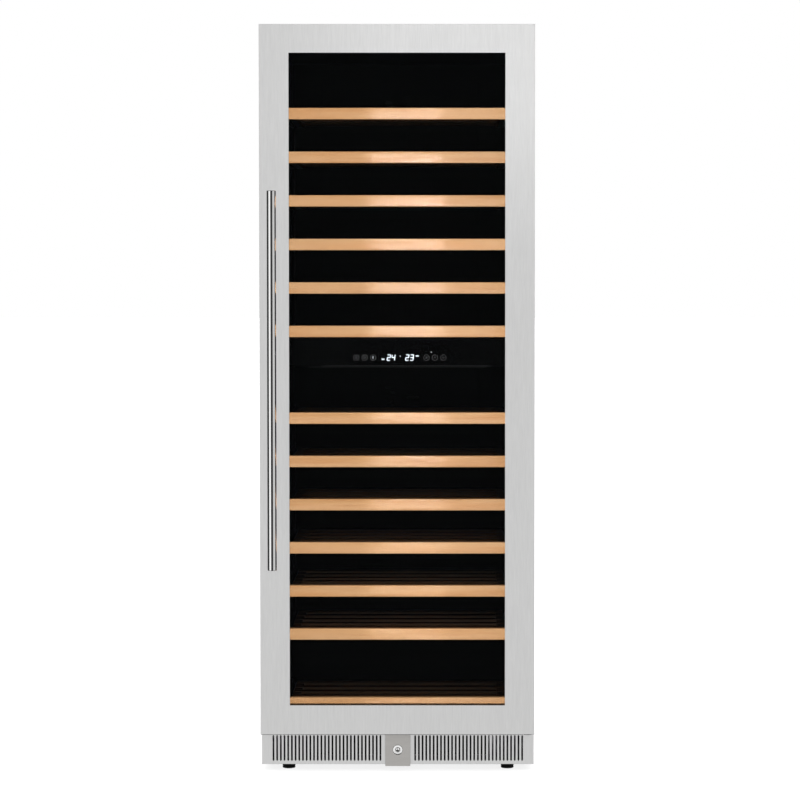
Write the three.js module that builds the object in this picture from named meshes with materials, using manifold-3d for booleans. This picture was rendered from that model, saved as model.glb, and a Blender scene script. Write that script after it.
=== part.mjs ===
// A tall two-zone wine cooler: a stainless full-height glass door on the right-hand hinge side,
// thirteen sliding beech shelves, a ventilated plinth with a key lock, and a rear machine space.
// Millimetres, +Z up, the door faces -Y, origin on the floor at the centre of the outer box.
import * as THREE from 'three';
import { mergeVertices } from 'three/addons/utils/BufferGeometryUtils.js';
import Module from 'manifold-3d';

const wasm = await Module();
wasm.setup();

// ---- driving dimensions -------------------------------------------------------------------------

const WIDTH = 655;
const HEIGHT = 1790;
const DEPTH = 680; // door front to back panel, without the handle
const HANDLE_REACH = 58; // how far the handle stands in front of the door
const GAP = 0.3; // clearance kept between touching pieces

const HALF = WIDTH / 2;
const BACK = (DEPTH + HANDLE_REACH) / 2;
const DOOR_FRONT = BACK - DEPTH;

const DOOR_BOTTOM = 96;
const DOOR_THICK = 45;
const SKIN = 1.2;
const SKIN_DEPTH = 35;
const STILE = 70.4; // door frame beside the window
const TOP_RAIL = 68; // door frame above the window
const BOTTOM_RAIL = 70.5;
const DOOR_HIGH = HEIGHT - DOOR_BOTTOM;
const DOOR_BACK = DOOR_FRONT + DOOR_THICK;

const PANE_LAP = 12; // how far each pane runs behind the frame
const OUTER_PANE = 5;
const INNER_PANE = 4;
const PANE_SPACE = 13;
const GASKET_DEEP = 10;
const GASKET_WIDE = 14;
const GASKET_INSET = 18.5;

const FRONT = DOOR_BACK + GASKET_DEEP; // front plane of the cabinet
const CABINET_TOP = 1778;
const SHEET = 1;
const REAR_SHEET = 1.5;
const FRAME_DEEP = 6;
const FRAME_LOW = 100; // lower edge of the cabinet's front frame
const BEHIND_FRAME = FRONT + FRAME_DEEP + GAP;

const LINER = 2;
const ROOM_HALF = 277.5;
const ROOM_BACK = 310;
const ROOM_TOP = 1735;
const ROOM_FLOOR = 138;
const DIVIDER_LOW = 985;
const DIVIDER_HIGH = 1036;
const HUMP_FRONT = 140; // the lower room steps over the machine space behind this line
const HUMP_TOP = 308;
const MACHINE_TOP = 256;
const MACHINE_FRONT = 192;

const SHELF_PITCH = 104.5;
const TOP_SHELF = 1596; // height of the highest shelf front's upper edge
const UPPER_SHELVES = 6;
const LOWER_SHELVES = 6;
const BOTTOM_SHELF = 174.5;
const SHELF_HALF = 265;
const SHELF_FRONT = DOOR_BACK + 30;
const SHELF_BACK = 235;
const BOTTOM_SHELF_BACK = 125;
const FASCIA = { thick: 20, high: 27.6 };
const DECK = { drop: 10, thick: 15, half: 262, rail: 20, slat: 34 };

const PANEL = { low: 976, high: 1042, front: SHELF_FRONT - 4, thick: 4, half: 277 };

const LIGHT_BAR = { half: 215, deep: 13, high: 10.5 };
const RUNNER = { front: -225, back: 225, upright: 20, thick: 7.9, railHigh: 5, railLow: 29 };

const PLINTH_FRONT = DOOR_FRONT + 53;
const PLINTH = { low: 16, high: 91.5, thick: 2, flange: 8 };
const SLOT = { count: 30, first: 42, pitch: 8.9, wide: 4, low: 24, high: 86 };
const LOCK = { half: 30, low: 12.5, high: 95.5, proud: 8, wall: 1.5, height: 52 };
const BARREL = { radius: 8.5, bezel: 12, proud: 2.5, hole: 9.5, front: -1, back: 28 };
const CAM = { reach: 20, half: 5, front: 5.2, back: 7.2 };
const KEYWAY = { halfX: 1.1, halfZ: 5 };
const BOLT = { half: 6, low: 62, high: 95, front: DOOR_BACK + 2.5, thick: 2, clear: 0.7 };
const STRIKE = { half: 12, low: 6, high: 18, web: 16, sheet: 1.5, reach: 7 };

const HANDLE = { radius: 11, long: 900, x: -296, z: 945, postRadius: 7, postInset: 80 };
const HANDLE_CENTRE = DOOR_FRONT - HANDLE_REACH + HANDLE.radius;

const HINGE = { x: 312.5, y: DOOR_FRONT + 30, ear: 12.5, plate: 3.5, tail: 150, tailHalf: 9.5 };
const PIN = { radius: 4, bore: 4.5, long: 18, boreLong: 22 };
const HINGE_LEG = { inner: 6, long: 100, low: -50 };
const NOTCH = { side: 15.5, front: 20, low: CABINET_TOP - 1 };

const FOOT = { x: 265, front: DOOR_FRONT + 100, back: 320, hole: 6 };
const PAD = { radius: 15.5, edge: 1.5, shoulder: 11, high: 14, taper: 3 };
const STEM = { radius: 4.5, top: 60 };
const BASE = { low: 20, thick: 2 };

const DUCT = { front: 248, half: 200, wall: 2.5 };
const FAN_GRILLE = { rows: 3, pitch: 12, halfHigh: 3.5, spine: 16 };
const OUTLET = { rows: 6, first: 40, pitch: 16, high: 6, near: 20, far: 150 };
const FAN = { radius: 46, hub: 15, bore: 3.2, deep: 18 };
const BLADE = { count: 5, thick: 2, sink: 3, share: 0.95, twist: 0.28 * Math.PI };
const MOTOR = { boss: 12, bossLong: 6, shaft: 2.5, play: 1 };
const COOLING_FAN = { x: -150, y: -130, z: 60, radius: 30, hub: 11, bore: 3.2, deep: 16, inset: 2 };
const BRACKET = { half: 36, thick: 24, clear: 3, bar: 3, boss: 9, bossLong: 5 };
const FINS = { plate: 3, thick: 2 };
const EVAPORATOR = { wide: 300, deep: 22, high: 240, fins: 16, front: 286, lift: 180 };
const CONDENSER = { wide: 440, deep: 50, high: 70, fins: 22, front: -205 };
const COMPRESSOR = { x: 120, y: 282, lift: 9, plateX: 95, plateY: 60, plateLow: -8, plateHigh: 2 };

const INLET = { x: -205, z: 74, halfX: 25, halfZ: 14, deep: 26, clear: 1 };
const SOCKET = { halfX: 12, halfZ: 8, deep: 16 };
const COVER = { inset: 2.5, lift: 3 };
const VENT = { rows: 9, low: 70, pitch: 18, high: 7, half: 48, columns: [-60, 60, 180] };

// ---- materials ----------------------------------------------------------------------------------

function finish(color, roughness, metalness, extra = {}) {
  return new THREE.MeshStandardMaterial({ color, roughness, metalness, ...extra });
}

const stainless = finish(0xcccdcc, 0.35, 1);
const polished = finish(0xe0e0e0, 0.08, 1);
const darkSteel = finish(0x1c1c1e, 0.5, 0.6);
const blackPlastic = finish(0x0b0b0d, 0.55, 0);
const blackGloss = finish(0x050506, 0.12, 0);
const rubber = finish(0x111112, 0.8, 0);
const foamWhite = finish(0xe6dfc8, 0.9, 0);
const glass = finish(0x222428, 0.03, 0, { transparent: true, opacity: 0.3 });
const beech = finish(0xe2b98a, 0.5, 0);
const aluminium = finish(0xb9bcc0, 0.4, 1);
const galvanised = finish(0xa7abae, 0.45, 1);
const lamp = finish(0xf4f6ff, 0.3, 0);

// ---- helpers ------------------------------------------------------------------------------------

// a closed box between two corners
function block(x, y, z) {
  const geometry = new THREE.BoxGeometry(x[1] - x[0], y[1] - y[0], z[1] - z[0]);
  return geometry.translate((x[0] + x[1]) / 2, (y[0] + y[1]) / 2, (z[0] + z[1]) / 2);
}

// a cylinder with its axis along Z, from low to high
function rodZ(radius, x, y, low, high, sides = 16) {
  const geometry = new THREE.CylinderGeometry(radius, radius, high - low, sides);
  return geometry.rotateX(Math.PI / 2).translate(x, y, (low + high) / 2);
}

// a cylinder with its axis along Y, from front to back
function rodY(radius, x, z, front, back, sides = 16) {
  const geometry = new THREE.CylinderGeometry(radius, radius, back - front, sides);
  return geometry.translate(x, (front + back) / 2, z);
}

function toSolid(geometry) {
  const bare = geometry.clone();
  bare.deleteAttribute('normal');
  bare.deleteAttribute('uv');
  const merged = mergeVertices(bare, 1e-3);
  const vertProperties = new Float32Array(merged.attributes.position.array);
  const triVerts = new Uint32Array(merged.index.array);
  return new wasm.Manifold(new wasm.Mesh({ numProp: 3, vertProperties, triVerts }));
}

function toGeometry(solid) {
  const mesh = solid.getMesh();
  const geometry = new THREE.BufferGeometry();
  geometry.setAttribute('position', new THREE.BufferAttribute(mesh.vertProperties, 3));
  geometry.setIndex(new THREE.BufferAttribute(mesh.triVerts, 1));
  geometry.computeVertexNormals();
  return geometry;
}

function cut(geometry, ...tools) {
  const solid = tools.reduce((left, tool) => left.subtract(toSolid(tool)), toSolid(geometry));
  return toGeometry(solid);
}

function join(geometry, ...pieces) {
  const solid = pieces.reduce((sum, piece) => sum.add(toSolid(piece)), toSolid(geometry));
  return toGeometry(solid);
}

function part(group, name, geometry, material) {
  const mesh = new THREE.Mesh(geometry, material);
  mesh.name = name;
  group.add(mesh);
  return mesh;
}

const both = (half) => [-half, half];
const grow = ([low, high], by) => [low - by, high + by];

const cooler = new THREE.Group();
const cabinet = new THREE.Group();
const door = new THREE.Group();
door.position.set(0, DOOR_FRONT, DOOR_BOTTOM);
cooler.add(cabinet, door);

// ---- outer shell --------------------------------------------------------------------------------

const panelBack = BACK - REAR_SHEET;
for (const [name, side] of [['side_panel_left', -1], ['side_panel_right', 1]]) {
  const panel = block(both(SHEET / 2), [BEHIND_FRAME, panelBack - GAP], [PLINTH.low, CABINET_TOP]);
  part(cabinet, name, panel, darkSteel).position.x = side * (HALF - SHEET / 2);
}

const insideHalf = HALF - SHEET - GAP;
part(cabinet, 'top_panel',
  block(both(insideHalf), [BEHIND_FRAME, panelBack - GAP], [CABINET_TOP - SHEET, CABINET_TOP]),
  darkSteel);

part(cabinet, 'back_panel',
  block(both(HALF), [panelBack, BACK], [MACHINE_TOP + GAP, CABINET_TOP]), darkSteel);

// the rear cover lets the machine space breathe and holds the mains inlet
function rearCover() {
  const through = [panelBack - 1, BACK + 1];
  const slots = [];
  for (let row = 0; row < VENT.rows; row += 1) {
    const z = VENT.low + row * VENT.pitch;
    for (const x of VENT.columns) {
      slots.push(block([x - VENT.half, x + VENT.half], through, [z, z + VENT.high]));
    }
  }
  const inletHole = block(both(INLET.halfX + INLET.clear), through, both(INLET.halfZ + INLET.clear))
    .translate(INLET.x, 0, INLET.z);
  const sheet = block(both(HALF - COVER.inset), [panelBack, BACK], [BASE.low + COVER.lift, MACHINE_TOP]);
  return cut(sheet, inletHole, ...slots);
}
part(cabinet, 'rear_cover', rearCover(), darkSteel);

function mainsInlet() {
  const body = block(both(INLET.halfX), [BACK - INLET.deep, BACK], both(INLET.halfZ));
  const socket = block(both(SOCKET.halfX), [BACK - SOCKET.deep, BACK + 1], both(SOCKET.halfZ));
  return cut(body, socket);
}
const inlet = part(cabinet, 'mains_inlet', mainsInlet(), blackPlastic);
inlet.position.set(INLET.x, 0, INLET.z);

function basePan() {
  const sheet = block(both(insideHalf), [BEHIND_FRAME, panelBack - GAP], [BASE.low, BASE.low + BASE.thick]);
  const holes = [];
  for (const x of [-FOOT.x, FOOT.x]) {
    for (const y of [FOOT.front, FOOT.back]) {
      holes.push(rodZ(FOOT.hole, x, y, BASE.low - 1, BASE.low + BASE.thick + 1, 12));
    }
  }
  return cut(sheet, ...holes);
}
part(cabinet, 'base_pan', basePan(), galvanised);

part(cabinet, 'front_frame',
  cut(block(both(HALF), [FRONT, FRONT + FRAME_DEEP], [FRAME_LOW, CABINET_TOP]),
    block(both(ROOM_HALF), [FRONT - 1, FRONT + FRAME_DEEP + 1], [ROOM_FLOOR, ROOM_TOP])),
  blackPlastic);

// ---- rooms, insulation and the partition between the zones --------------------------------------

const panelRecess = block(both(PANEL.half + GAP), [BEHIND_FRAME - 1, SHELF_FRONT + GAP],
  [PANEL.low - GAP, PANEL.high + GAP]);

part(cabinet, 'liner_upper',
  cut(block(both(ROOM_HALF + LINER), [BEHIND_FRAME, ROOM_BACK + LINER], [DIVIDER_HIGH, ROOM_TOP + LINER]),
    block(both(ROOM_HALF), [BEHIND_FRAME - 1, ROOM_BACK], [DIVIDER_HIGH + LINER, ROOM_TOP]),
    panelRecess),
  blackPlastic);

function linerLower() {
  const outer = cut(
    block(both(ROOM_HALF + LINER), [BEHIND_FRAME, ROOM_BACK + LINER], [ROOM_FLOOR - LINER, DIVIDER_LOW]),
    block(both(HALF), [HUMP_FRONT + LINER, BACK], [0, HUMP_TOP - LINER]));
  const inner = cut(
    block(both(ROOM_HALF), [BEHIND_FRAME - 1, ROOM_BACK], [ROOM_FLOOR, DIVIDER_LOW - LINER]),
    block(both(HALF), [HUMP_FRONT, BACK], [0, HUMP_TOP]));
  return cut(outer, inner, panelRecess);
}
part(cabinet, 'liner_lower', linerLower(), blackPlastic);

function insulation() {
  const edge = LINER + GAP;
  const outer = block(both(insideHalf - GAP), [BEHIND_FRAME, panelBack - GAP],
    [FRAME_LOW, CABINET_TOP - SHEET - GAP]);
  const rooms = cut(
    block(both(ROOM_HALF + edge), [BEHIND_FRAME - 1, ROOM_BACK + edge], [ROOM_FLOOR - edge, ROOM_TOP + edge]),
    block(both(HALF), [HUMP_FRONT + edge, BACK], [0, HUMP_TOP - edge]));
  const machine = block(both(HALF), [MACHINE_FRONT, BACK], [0, MACHINE_TOP]);
  return cut(outer, rooms, machine);
}
part(cabinet, 'insulation_foam', insulation(), foamWhite);

part(cabinet, 'zone_divider',
  block(both(ROOM_HALF + LINER - GAP), [SHELF_FRONT + GAP, ROOM_BACK + LINER - GAP],
    [DIVIDER_LOW + GAP, DIVIDER_HIGH - GAP]),
  blackPlastic);

part(cabinet, 'control_panel',
  block(both(PANEL.half), [PANEL.front, PANEL.front + PANEL.thick], [PANEL.low, PANEL.high]),
  blackGloss);

const lampFront = SHELF_FRONT + 1;
const lampBar = block(both(LIGHT_BAR.half), [lampFront, lampFront + LIGHT_BAR.deep], [-LIGHT_BAR.high, 0]);
part(cabinet, 'light_bar_upper', lampBar, lamp).position.z = ROOM_TOP - GAP;
part(cabinet, 'light_bar_lower', lampBar, lamp).position.z = DIVIDER_LOW - LINER - GAP;

// ---- air ducts, evaporators and fans ------------------------------------------------------------

// a rotor on the Y axis with its front face at y = 0
function rotor({ radius, hub, bore, deep }) {
  const root = hub - BLADE.sink;
  const blades = [];
  for (let turn = 0; turn < BLADE.count; turn += 1) {
    const blade = new THREE.BoxGeometry(radius - root, BLADE.thick, deep * BLADE.share);
    blade.rotateX(BLADE.twist).translate((root + radius) / 2, deep / 2, 0);
    blade.rotateY(turn * 2 * Math.PI / BLADE.count);
    blades.push(blade);
  }
  return cut(join(rodY(hub, 0, 0, 0, deep, 20), ...blades), rodY(bore, 0, 0, -1, deep + 1, 12));
}

// a duct cover open at the back, with a fan grille and rows of outlet slots
function ductCover(low, high, fanHeight) {
  const shell = cut(
    block(both(DUCT.half), [DUCT.front, ROOM_BACK - GAP], [low, high]),
    block(both(DUCT.half - DUCT.wall), [DUCT.front + DUCT.wall, ROOM_BACK + 1],
      [low + DUCT.wall, high - DUCT.wall]));
  const through = [DUCT.front - 1, DUCT.front + DUCT.wall + 1];
  const openings = [];
  for (let row = -FAN_GRILLE.rows; row <= FAN_GRILLE.rows; row += 1) {
    const offset = row * FAN_GRILLE.pitch;
    const chord = Math.sqrt(FAN.radius ** 2 - offset ** 2);
    const z = grow([fanHeight + offset, fanHeight + offset], FAN_GRILLE.halfHigh);
    openings.push(block([FAN_GRILLE.spine, chord], through, z));
    openings.push(block([-chord, -FAN_GRILLE.spine], through, z));
  }
  for (let row = 0; row < OUTLET.rows; row += 1) {
    const z = low + OUTLET.first + row * OUTLET.pitch;
    openings.push(block([-OUTLET.far, -OUTLET.near], through, [z, z + OUTLET.high]));
    openings.push(block([OUTLET.near, OUTLET.far], through, [z, z + OUTLET.high]));
  }
  const seat = DUCT.front + DUCT.wall;
  const bossEnd = seat + MOTOR.bossLong;
  const boss = rodY(MOTOR.boss, 0, fanHeight, seat - 1, bossEnd);
  const shaft = rodY(MOTOR.shaft, 0, fanHeight, seat, bossEnd + FAN.deep + MOTOR.play, 12);
  return join(cut(shell, ...openings), boss, shaft);
}

// a comb of fins on a back plate, fins running along Z
function finBlock({ wide, deep, high, fins }) {
  const step = (wide - FINS.thick) / (fins - 1);
  const outline = new THREE.Shape();
  outline.moveTo(0, deep);
  for (let index = 0; index < fins; index += 1) {
    const x = index * step;
    outline.lineTo(x, 0);
    outline.lineTo(x + FINS.thick, 0);
    if (index < fins - 1) {
      outline.lineTo(x + FINS.thick, deep - FINS.plate);
      outline.lineTo(x + step, deep - FINS.plate);
    }
  }
  outline.lineTo(wide, deep);
  outline.closePath();
  return new THREE.ExtrudeGeometry(outline, { depth: high, bevelEnabled: false });
}

const zones = [
  { zone: 'upper', low: 1056, high: 1700, fanHeight: 1610 },
  { zone: 'lower', low: 345, high: 965, fanHeight: 880 },
];
for (const { zone, low, high, fanHeight } of zones) {
  part(cabinet, `duct_cover_${zone}`, ductCover(low, high, fanHeight), blackPlastic);
  const fan = part(cabinet, `fan_${zone}`, rotor(FAN), blackPlastic);
  fan.position.set(0, DUCT.front + DUCT.wall + MOTOR.bossLong + MOTOR.play, fanHeight);
  const evaporator = part(cabinet, `evaporator_${zone}`, finBlock(EVAPORATOR), aluminium);
  evaporator.position.set(-EVAPORATOR.wide / 2, EVAPORATOR.front, low + EVAPORATOR.lift);
}

// ---- machine space ------------------------------------------------------------------------------

// a hermetic compressor: a domed pot on a flat mounting plate
function compressor() {
  const profile = [
    [0, 0], [60, 0], [74, 10], [78, 26], [78, 92], [82, 92], [82, 100], [78, 100],
    [78, 132], [70, 156], [46, 174], [0, 180],
  ].map(([radius, height]) => new THREE.Vector2(radius, height));
  const pot = new THREE.LatheGeometry(profile, 24).rotateX(Math.PI / 2);
  const { plateX, plateY, plateLow, plateHigh } = COMPRESSOR;
  return join(pot, block(both(plateX), both(plateY), [plateLow, plateHigh]));
}
const baseTop = BASE.low + BASE.thick;
part(cabinet, 'compressor', compressor(), darkSteel)
  .position.set(COMPRESSOR.x, COMPRESSOR.y, baseTop + COMPRESSOR.lift);

part(cabinet, 'condenser', finBlock(CONDENSER), aluminium)
  .position.set(-CONDENSER.wide / 2, CONDENSER.front, baseTop + 1);

// the cooling fan's frame: a square ring with a two-bar spider that carries the motor shaft
function fanBracket() {
  const { half, thick, clear, bar } = BRACKET;
  const frame = cut(block(both(half), [0, thick], both(half)),
    rodY(COOLING_FAN.radius + clear, 0, 0, -1, thick + 1, 24));
  const bars = [
    block(both(half - 1), [thick - bar, thick], both(bar)),
    block(both(bar), [thick - bar, thick], both(half - 1)),
  ];
  const boss = rodY(BRACKET.boss, 0, 0, thick - BRACKET.bossLong, thick);
  const shaft = rodY(MOTOR.shaft, 0, 0, COOLING_FAN.inset + MOTOR.play, thick - 1, 12);
  return join(frame, ...bars, boss, shaft);
}
const bracket = part(cabinet, 'fan_bracket', fanBracket(), blackPlastic);
bracket.position.set(COOLING_FAN.x, COOLING_FAN.y, COOLING_FAN.z);
part(cabinet, 'condenser_fan', rotor(COOLING_FAN), blackPlastic)
  .position.set(COOLING_FAN.x, COOLING_FAN.y + COOLING_FAN.inset, COOLING_FAN.z);

// ---- shelf runners ------------------------------------------------------------------------------

const shelfTop = (level) => TOP_SHELF - level * SHELF_PITCH;
const upperLevels = Array.from({ length: UPPER_SHELVES }, (_, index) => shelfTop(index));
const lowerLevels = Array.from({ length: LOWER_SHELVES },
  (_, index) => shelfTop(UPPER_SHELVES + 1 + index));
lowerLevels.push(BOTTOM_SHELF);

// a ladder of rails between two uprights; each rail runs railLow to railHigh below a shelf's upper edge
function ladder(levels) {
  const { front, back, upright, thick, railHigh, railLow } = RUNNER;
  const lowest = levels[levels.length - 1] - railLow;
  const plate = block(both(thick / 2), [front, back], [lowest, levels[0] - railHigh]);
  const windows = levels.slice(1).map((top, index) => block(
    both(thick), [front + upright, back - upright], [top - railHigh, levels[index] - railLow]));
  return cut(plate, ...windows);
}

const humpClear = block(both(RUNNER.thick), [HUMP_FRONT - 5, BACK], [0, HUMP_TOP + 4]);
const ladders = { upper: ladder(upperLevels), lower: cut(ladder(lowerLevels), humpClear) };
for (const [zone, geometry] of Object.entries(ladders)) {
  for (const [name, side] of [['left', -1], ['right', 1]]) {
    const runner = part(cabinet, `runner_${zone}_${name}`, geometry, galvanised);
    runner.position.x = side * (ROOM_HALF - GAP - RUNNER.thick / 2);
  }
}

// ---- shelves ------------------------------------------------------------------------------------

// a beech fascia with a slatted deck behind it, upper edge at z = 0
function shelf(back, slats) {
  const fascia = block(both(SHELF_HALF), [SHELF_FRONT, SHELF_FRONT + FASCIA.thick], [-FASCIA.high, 0]);
  const deckFront = SHELF_FRONT + FASCIA.thick - 1;
  const deckTop = -DECK.drop;
  const deck = block(both(DECK.half), [deckFront, back], [deckTop - DECK.thick, deckTop]);
  const space = (back - deckFront - slats * DECK.slat) / (slats - 1);
  const spaces = [];
  for (let index = 0; index < slats - 1; index += 1) {
    const y = deckFront + DECK.slat + index * (DECK.slat + space);
    spaces.push(block(both(DECK.half - DECK.rail), [y, y + space], [deckTop - DECK.thick - 1, deckTop + 1]));
  }
  return join(fascia, cut(deck, ...spaces));
}

const fullShelf = shelf(SHELF_BACK, 6);
const shortShelf = shelf(BOTTOM_SHELF_BACK, 5);
[...upperLevels, ...lowerLevels].forEach((top, index) => {
  const number = String(index + 1).padStart(2, '0');
  const geometry = top === BOTTOM_SHELF ? shortShelf : fullShelf;
  part(cooler, `shelf_${number}`, geometry, beech).position.z = top;
});

// ---- plinth, lock and feet ----------------------------------------------------------------------

// an upright slot with rounded ends, as a hole in the plinth's outline
function slotPath(x) {
  const radius = SLOT.wide / 2;
  const path = new THREE.Path();
  const corner = (angle, z) => [x + radius * Math.cos(angle), z + radius * Math.sin(angle)];
  for (const [start, z] of [[0, SLOT.high - radius], [Math.PI, SLOT.low + radius]]) {
    for (let step = 0; step < 4; step += 1) {
      const point = corner(start + step * Math.PI / 3, z);
      if (start === 0 && step === 0) path.moveTo(...point);
      else path.lineTo(...point);
    }
  }
  path.closePath();
  return path;
}

function plinth() {
  const outline = new THREE.Shape();
  outline.moveTo(-HALF, PLINTH.low);
  outline.lineTo(HALF, PLINTH.low);
  outline.lineTo(HALF, PLINTH.high);
  outline.lineTo(-HALF, PLINTH.high);
  outline.closePath();
  for (const side of [-1, 1]) {
    for (let index = 0; index < SLOT.count; index += 1) {
      outline.holes.push(slotPath(side * (SLOT.first + index * SLOT.pitch)));
    }
  }
  const sheet = new THREE.ExtrudeGeometry(outline, { depth: PLINTH.thick, bevelEnabled: false });
  sheet.rotateX(Math.PI / 2).translate(0, PLINTH_FRONT + PLINTH.thick, 0);
  const flangeY = [PLINTH_FRONT + PLINTH.thick / 2, PLINTH_FRONT + PLINTH.flange];
  const flanges = [
    block(both(HALF), flangeY, [PLINTH.high - PLINTH.thick, PLINTH.high]),
    block(both(HALF), flangeY, [PLINTH.low, PLINTH.low + PLINTH.thick]),
  ];
  const barrelHole = rodY(BARREL.hole, 0, LOCK.height, PLINTH_FRONT - 1, flangeY[1] + 1);
  return cut(join(sheet, ...flanges), barrelHole);
}
part(cabinet, 'plinth_grille', plinth(), stainless);

const lockFront = PLINTH_FRONT - LOCK.proud;
function lockPlate() {
  const outer = block(both(LOCK.half), [lockFront, PLINTH_FRONT - GAP], [LOCK.low, LOCK.high]);
  const hollow = block(both(LOCK.half - LOCK.wall), [lockFront + LOCK.wall, PLINTH_FRONT + 1],
    [LOCK.low + LOCK.wall, LOCK.high - LOCK.wall]);
  const barrelHole = rodY(BARREL.hole, 0, LOCK.height, lockFront - 1, PLINTH_FRONT);
  const slotY = grow([BOLT.front, BOLT.front + BOLT.thick], BOLT.clear);
  const slotZ = [LOCK.high - 2 * LOCK.wall, LOCK.high + 1];
  const boltSlot = block(both(BOLT.half + BOLT.clear), slotY, slotZ);
  return cut(outer, hollow, barrelHole, boltSlot);
}
part(cabinet, 'lock_plate', lockPlate(), stainless);

// the key barrel turns about Y and its cam lifts the bolt; the cam points to -X at rest
function lockBarrel() {
  const bezel = rodY(BARREL.bezel, 0, 0, -BARREL.proud, -GAP, 24);
  const barrel = rodY(BARREL.radius, 0, 0, BARREL.front, BARREL.back, 20);
  const cam = block([-CAM.reach, 0], [CAM.front, CAM.back], both(CAM.half));
  const keyway = block(both(KEYWAY.halfX), [-BARREL.proud - 1, -BARREL.front], both(KEYWAY.halfZ));
  return cut(join(bezel, barrel, cam), keyway);
}
part(cooler, 'lock_barrel', lockBarrel(), polished).position.set(0, lockFront, LOCK.height);

part(cooler, 'lock_bolt',
  block(both(BOLT.half), [BOLT.front, BOLT.front + BOLT.thick], [BOLT.low, BOLT.high]), galvanised);

// a levelling foot: a round pad under a threaded stem
function foot() {
  const { radius, edge, shoulder, high, taper } = PAD;
  const profile = [
    [0, 0], [radius - edge, 0], [radius, edge], [radius, shoulder], [radius - taper, high],
    [STEM.radius, high], [STEM.radius, STEM.top], [0, STEM.top],
  ].map(([across, up]) => new THREE.Vector2(across, up));
  return new THREE.LatheGeometry(profile, 16).rotateX(Math.PI / 2);
}
const footGeometry = foot();
const footPlaces = {
  foot_front_left: [-FOOT.x, FOOT.front],
  foot_front_right: [FOOT.x, FOOT.front],
  foot_back_left: [-FOOT.x, FOOT.back],
  foot_back_right: [FOOT.x, FOOT.back],
};
for (const [name, [x, y]] of Object.entries(footPlaces)) {
  part(cooler, name, footGeometry, rubber).position.set(x, y, 0);
}

// ---- door, measured from the bottom of its front face -------------------------------------------

const windowHalf = HALF - STILE;
const windowZ = [BOTTOM_RAIL, DOOR_HIGH - TOP_RAIL];
const hingeDepth = HINGE.y - DOOR_FRONT;
const notch = block([HINGE.x - NOTCH.side, HALF + 1],
  [hingeDepth - NOTCH.front, DOOR_THICK + 1], [NOTCH.low - DOOR_BOTTOM, DOOR_HIGH + 1]);

function doorSkin() {
  const tray = block(both(HALF), [0, SKIN_DEPTH], [0, DOOR_HIGH]);
  const inside = block(both(HALF - SKIN), [SKIN, SKIN_DEPTH + 1], [SKIN, DOOR_HIGH - SKIN]);
  const window = block(both(windowHalf), [-1, SKIN_DEPTH], windowZ);
  const pinHole = rodZ(PIN.bore + 1, HINGE.x, hingeDepth, -1, SKIN + 1);
  return cut(tray, inside, window, pinHole, notch);
}
part(door, 'door_skin', doorSkin(), stainless);

const coreEdge = SKIN + GAP;
const paneZ = grow(windowZ, PANE_LAP);
const paneFront = SKIN + GAP;
const innerPaneFront = paneFront + OUTER_PANE + PANE_SPACE;
const glazingBack = innerPaneFront + INNER_PANE;

function doorCore() {
  const ring = block(both(HALF - coreEdge), [coreEdge, DOOR_THICK], [coreEdge, DOOR_HIGH - coreEdge]);
  const rebate = block(both(windowHalf + PANE_LAP + GAP), [0, glazingBack + GAP], grow(paneZ, GAP));
  const opening = block(both(windowHalf + 2), [0, DOOR_THICK + 1], grow(windowZ, 2));
  const lowBore = rodZ(PIN.bore, HINGE.x, hingeDepth, 0, PIN.boreLong);
  const highBore = rodZ(PIN.bore, HINGE.x, hingeDepth, NOTCH.low - DOOR_BOTTOM - PIN.boreLong, DOOR_HIGH);
  return cut(ring, rebate, opening, lowBore, highBore, notch);
}
part(door, 'door_core', doorCore(), blackPlastic);

part(door, 'outer_pane',
  block(both(windowHalf + PANE_LAP), [paneFront, paneFront + OUTER_PANE], paneZ), glass);
part(door, 'inner_pane',
  block(both(windowHalf + PANE_LAP), [innerPaneFront, innerPaneFront + INNER_PANE], paneZ), glass);
part(door, 'glass_spacer',
  cut(block(both(windowHalf + PANE_LAP - 2), [paneFront + OUTER_PANE + GAP, innerPaneFront - GAP],
    grow(windowZ, PANE_LAP - 2)),
  block(both(windowHalf + 1), [0, DOOR_THICK], grow(windowZ, 1))),
  aluminium);

const gasketY = [DOOR_THICK + GAP, DOOR_THICK + GASKET_DEEP - GAP];
const gasketZ = [GASKET_INSET, CABINET_TOP - DOOR_BOTTOM - 8];
part(door, 'door_gasket',
  cut(block(both(HALF - GASKET_INSET), gasketY, gasketZ),
    block(both(HALF - GASKET_INSET - GASKET_WIDE), grow(gasketY, 1), grow(gasketZ, -GASKET_WIDE))),
  rubber);

// the keeper hangs on the door's back; the bolt rises in front of its lip
function doorStrike() {
  const { half, low, high, web, sheet, reach } = STRIKE;
  const back = DOOR_THICK + reach;
  const leg = block(both(half), [DOOR_THICK + GAP, DOOR_THICK + sheet], [low, high]);
  const bridge = block(both(half), [DOOR_THICK + 1, back], [web - sheet, web]);
  const lip = block(both(half), [back - sheet, back], [low, web]);
  return join(leg, bridge, lip);
}
part(door, 'door_strike', doorStrike(), galvanised);

function handle() {
  const bar = rodZ(HANDLE.radius, 0, 0, -HANDLE.long / 2, HANDLE.long / 2, 32);
  const postBack = DOOR_FRONT - HANDLE_CENTRE - GAP;
  const posts = [-1, 1].map((side) => rodY(
    HANDLE.postRadius, 0, side * (HANDLE.long / 2 - HANDLE.postInset), 0, postBack, 20));
  return join(bar, ...posts);
}
part(door, 'handle', handle(), polished)
  .position.set(HANDLE.x, HANDLE_CENTRE - DOOR_FRONT, HANDLE.z - DOOR_BOTTOM);

// ---- hinges -------------------------------------------------------------------------------------

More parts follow.
